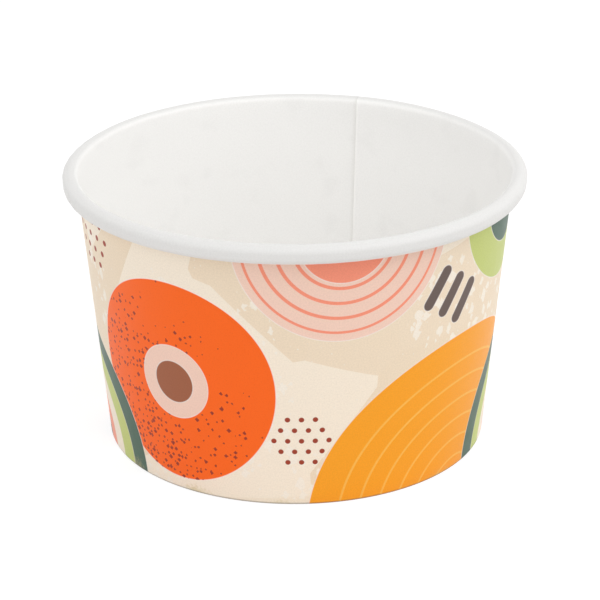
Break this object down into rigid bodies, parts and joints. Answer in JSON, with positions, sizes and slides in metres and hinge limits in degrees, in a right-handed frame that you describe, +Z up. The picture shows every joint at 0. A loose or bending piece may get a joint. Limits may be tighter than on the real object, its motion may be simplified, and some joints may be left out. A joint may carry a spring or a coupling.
{
  "type": "paper dessert cup",
  "caption": "Round tapered paper cup for a dessert portion, with a rolled rim, an overlapped side seam, a folded foot and a raised floor.",
  "frame": {"origin": "middle of the circle that the cup stands on, at the table", "axes": "+Z up along the cup's axis; +Y points to the back, where the side seam is, 18 degrees to its right; +X to the right"},
  "size_m": [0.095, 0.095, 0.058],
  "materials": {
    "printed_board": "coated board, white and satin inside, printed outside in amber, cream, vermilion, green and pink",
    "plain_board": "coated board, plain white and satin"
  },
  "bodies": {
    "root": {"sidewall": "printed_board", "bottom_disc": "plain_board"}
  },
  "joints": []
}
